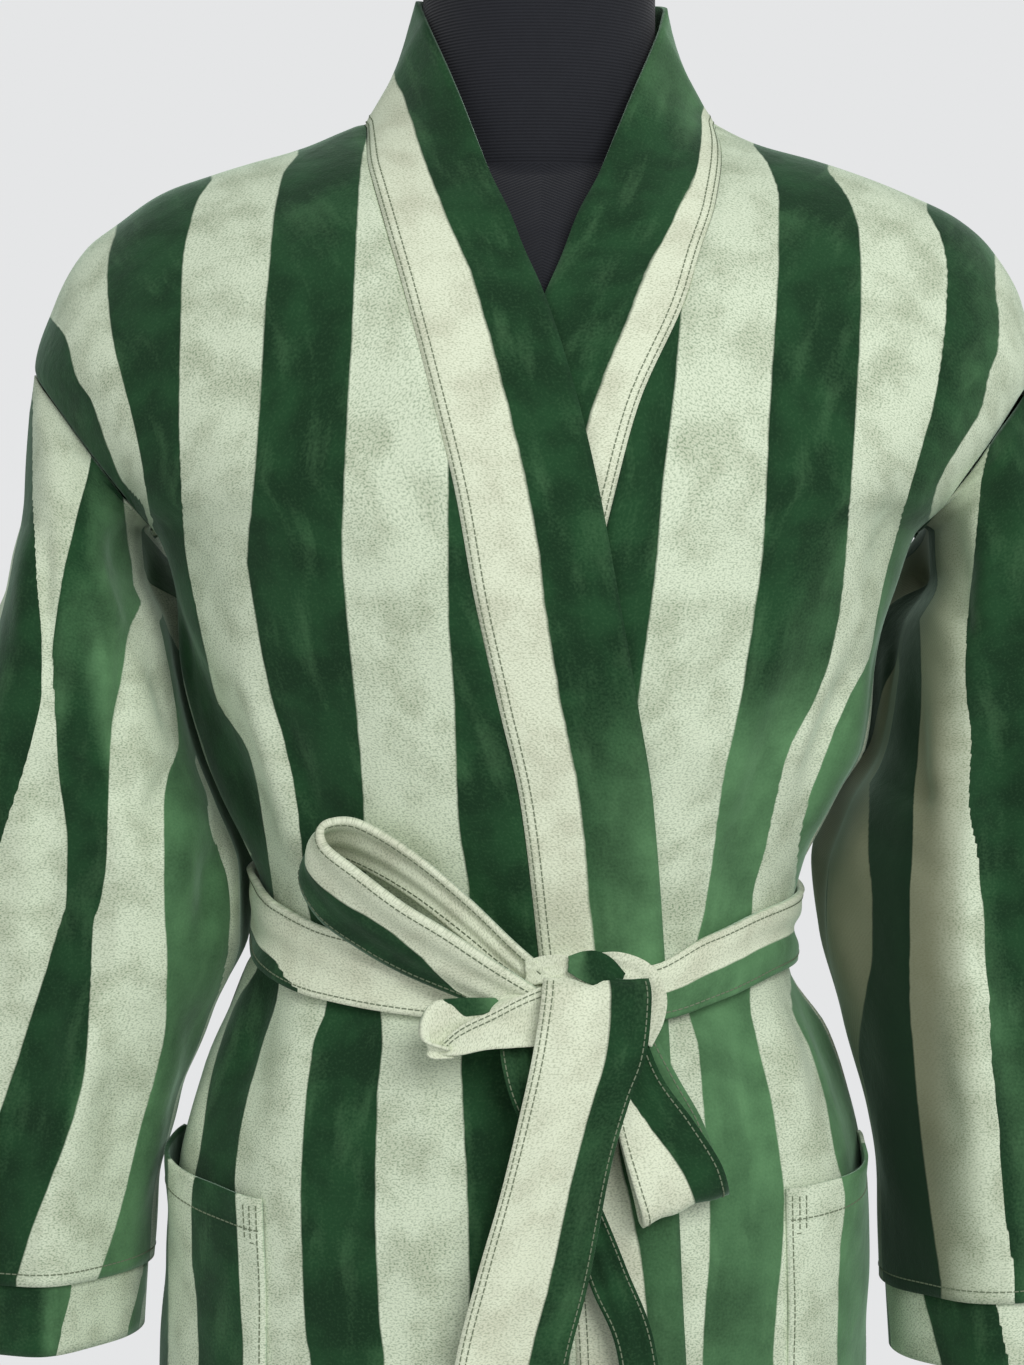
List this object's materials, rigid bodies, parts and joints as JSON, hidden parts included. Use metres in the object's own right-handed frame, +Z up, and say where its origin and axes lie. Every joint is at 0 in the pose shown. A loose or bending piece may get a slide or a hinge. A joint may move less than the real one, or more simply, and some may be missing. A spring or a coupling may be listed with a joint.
{
  "type": "kimono robe on dress form",
  "caption": "Wrapped, belted kimono robe in lengthwise striped velvet, with a wide neckband, drop sleeves and patch pockets, worn on a limbless dress form that stands on a round base.",
  "frame": {"origin": "on the floor at the middle of the stand's round base, under the pole", "axes": "+Z up along the pole, -Y out of the robe's front, +X towards the viewer's right"},
  "size_m": [0.6653, 0.4, 1.4963],
  "materials": {
    "velvet_stripe": "cut velvet pile in green stripes on a flat heathered cream weave",
    "form_cover": "black fine-ribbed jersey",
    "stand_metal": "black satin lacquer",
    "stitch_thread": "dark green polyester topstitching thread"
  },
  "bodies": {
    "root": {"form_base": "stand_metal", "form_pole": "stand_metal", "form_torso": "form_cover", "form_neck_cap": "stand_metal", "robe_back": "velvet_stripe", "robe_front_over": "velvet_stripe", "robe_front_under": "velvet_stripe", "neckband": "velvet_stripe", "sleeve_left": "velvet_stripe", "sleeve_right": "velvet_stripe", "cuff_left": "velvet_stripe", "cuff_right": "velvet_stripe", "pocket_left": "velvet_stripe", "pocket_right": "velvet_stripe", "belt_waist": "velvet_stripe", "belt_knot": "velvet_stripe", "belt_loop_upper": "velvet_stripe", "belt_loop_lower": "velvet_stripe", "belt_tail_front": "velvet_stripe", "belt_tail_rear": "velvet_stripe"}
  },
  "joints": []
}
